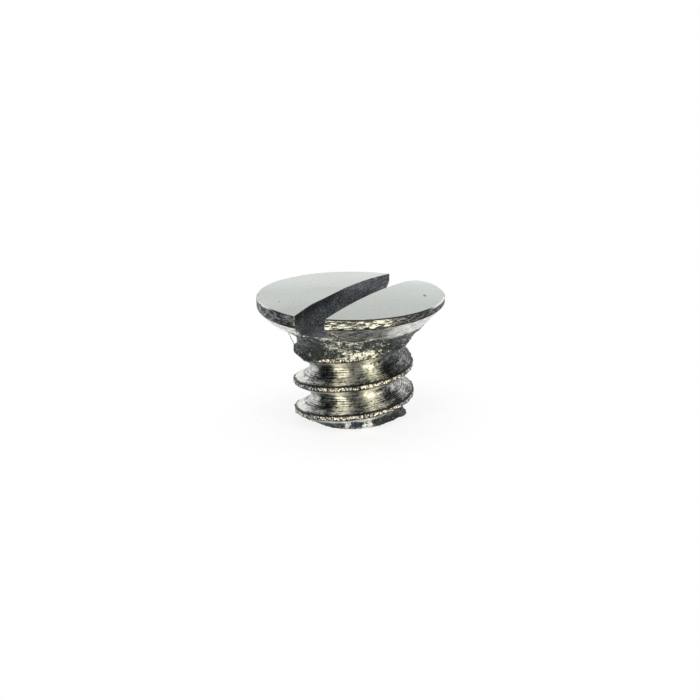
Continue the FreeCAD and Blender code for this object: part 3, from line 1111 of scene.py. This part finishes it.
def give_materials(piece):
    """Sort the faces into the surfaces that look different, mark the worn zones, and mark the bevel
    where a highlight is painted.
    """
    mesh = piece.data
    for make in (crown_steel, rim_steel, cone_steel, thread_steel, slot_steel, end_steel):
        mesh.materials.append(make())
    index = surface_index(*places_of(mesh.polygons, "center"))
    mesh.polygons.foreach_set("material_index", index.astype(np.int32))
    mesh.polygons.foreach_set("use_smooth", np.ones(len(index), dtype=bool))
    mesh.set_sharp_from_angle(angle=math.radians(38))
    places, _ = places_of(mesh.vertices, "co")
    for name, wear_and_painted_light in (("rough_zone", rough_zone), ("bevel_highlight", bevel_highlight)):
        attribute = mesh.attributes.new(name, "FLOAT", "POINT")
        attribute.data.foreach_set("value", wear_and_painted_light(places).astype(np.float32))


def photo_camera():
    """The camera in the photo's place."""
    raised = math.radians(CAMERA_ELEVATION)
    back = TO_CAMERA * math.cos(raised) + Vector((0, 0, math.sin(raised)))
    place = Vector((0, 0, CROWN_EDGE)) + back * CAMERA_DISTANCE
    data = bpy.data.cameras.new("photo_camera")
    data.lens = CAMERA_LENS
    data.clip_start = CLIP_START * MM
    data.clip_end = CLIP_END * MM
    camera = in_scene("photo_camera", data)
    target = Vector((0, 0, AIM_HEIGHT)) + TO_RIGHT * AIM_ASIDE
    turned = (place - target).normalized().to_track_quat("Z", "Y").to_matrix().to_4x4()
    roll = Matrix.Rotation(math.radians(CAMERA_ROLL), 4, "Z")
    camera.matrix_world = Matrix.Translation(place * MM) @ turned @ roll
    bpy.context.scene.camera = camera


def white_floor():
    """A small white card, which fades out and keeps the shadow round the screw."""
    angles = np.arange(CARD_CORNERS) * TURN / CARD_CORNERS
    points = around(CARD_RADIUS, angles, np.full(CARD_CORNERS, CARD_HEIGHT))
    floor = new_piece("white_floor", points, [tuple(range(CARD_CORNERS))])
    material = new_material("white_floor")
    nodes = Nodes(material.node_tree)
    paper = nodes.add("BsdfDiffuse", {"Color": coloured(FLOOR_PAPER)})
    path = nodes.add("LightPath").outputs
    shown = nodes.maths("ADD", nodes.plus(path["Is Camera Ray"], path["Is Glossy Ray"]),
                        path["Is Transmission Ray"], clamp=True)
    glow = nodes.add("Emission", {"Color": coloured(WHITE),
                                  "Strength": nodes.times(shown, FLOOR_TOP_UP)})
    lit = nodes.add("AddShader", {0: paper.outputs[0], 1: glow.outputs[0]})
    place = nodes.add("TexCoord").outputs["Object"]
    away = nodes.vectors("LENGTH", place, output="Value")
    faded = nodes.between(away, CARD_FADE * MM, CARD_RADIUS * MM)
    clear = nodes.add("BsdfTransparent")
    card = nodes.add("MixShader", {0: faded, 1: lit.outputs[0], 2: clear.outputs[0]})
    nodes.add("OutputMaterial", {"Surface": card.outputs[0]})
    floor.data.materials.append(material)


def room_ramp(nodes, bearing):
    """Colour of the room at a bearing, given as a part of a turn."""
    ramp = nodes.add("ValToRGB", {"Fac": bearing})
    stops = ramp.color_ramp.elements
    while len(stops) > 1:
        stops.remove(stops[0])
    stops[0].position = SURROUND_STOPS[0][0]
    for number, (position, level, tint) in enumerate(SURROUND_STOPS):
        stop = stops[0] if number == 0 else stops.new(position)
        stop.color = coloured(tuple(level * part for part in tint))
    return ramp.outputs["Color"]


def surroundings():
    """A white room behind the screw and a darker one in front, as a photo table has."""
    world = bpy.data.worlds.new("surroundings")
    bpy.context.scene.world = world
    world.use_nodes = True
    nodes = Nodes(world.node_tree)
    way = nodes.add("TexCoord").outputs["Generated"]
    ahead = nodes.dot(way, TO_CAMERA)
    aside = nodes.dot(way, TO_RIGHT)
    height = nodes.axes(way)["Z"]
    bearing = nodes.line(nodes.maths("ARCTAN2", aside, ahead), 1 / TURN, 0.5)
    dimmed = nodes.between(height, 0.05, 0.50, 1.0, UPPER_ROOM)
    room = nodes.add("VectorMath", {0: room_ramp(nodes, bearing), "Scale": dimmed},
                     operation="SCALE").outputs["Vector"]
    fill = nodes.times(nodes.between(height, 0.06, 0.24, 0.0, FRONT_FILL),
                       nodes.between(ahead, -0.15, 0.15))
    colour = nodes.mix(nodes.between(height, 0.55, 0.85), nodes.vectors("ADD", room, fill), OVERHEAD)
    path = nodes.add("LightPath").outputs
    mirrored = nodes.plus(path["Is Glossy Ray"], path["Is Transmission Ray"])
    behind = nodes.between(ahead, -0.35, -0.10, 1.0, 0.0)
    shown = nodes.maths("ADD", path["Is Camera Ray"], nodes.times(mirrored, behind), clamp=True)
    white = nodes.mix(path["Is Camera Ray"], nodes.mix(dimmed, BLACK, WHITE), WHITE)
    background = nodes.add("Background", {"Color": nodes.mix(shown, colour, white)})
    nodes.add("OutputWorld", {"Surface": background.outputs[0]})


screw = turned_screw()
give_materials(screw)
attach(screw, "root")
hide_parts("screw")
for burr in BURRS:
    sliver = torn_sliver(burr)
    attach(sliver, "root")

photo_camera()
white_floor()
surroundings()
bpy.context.scene.view_settings.view_transform = "Standard"
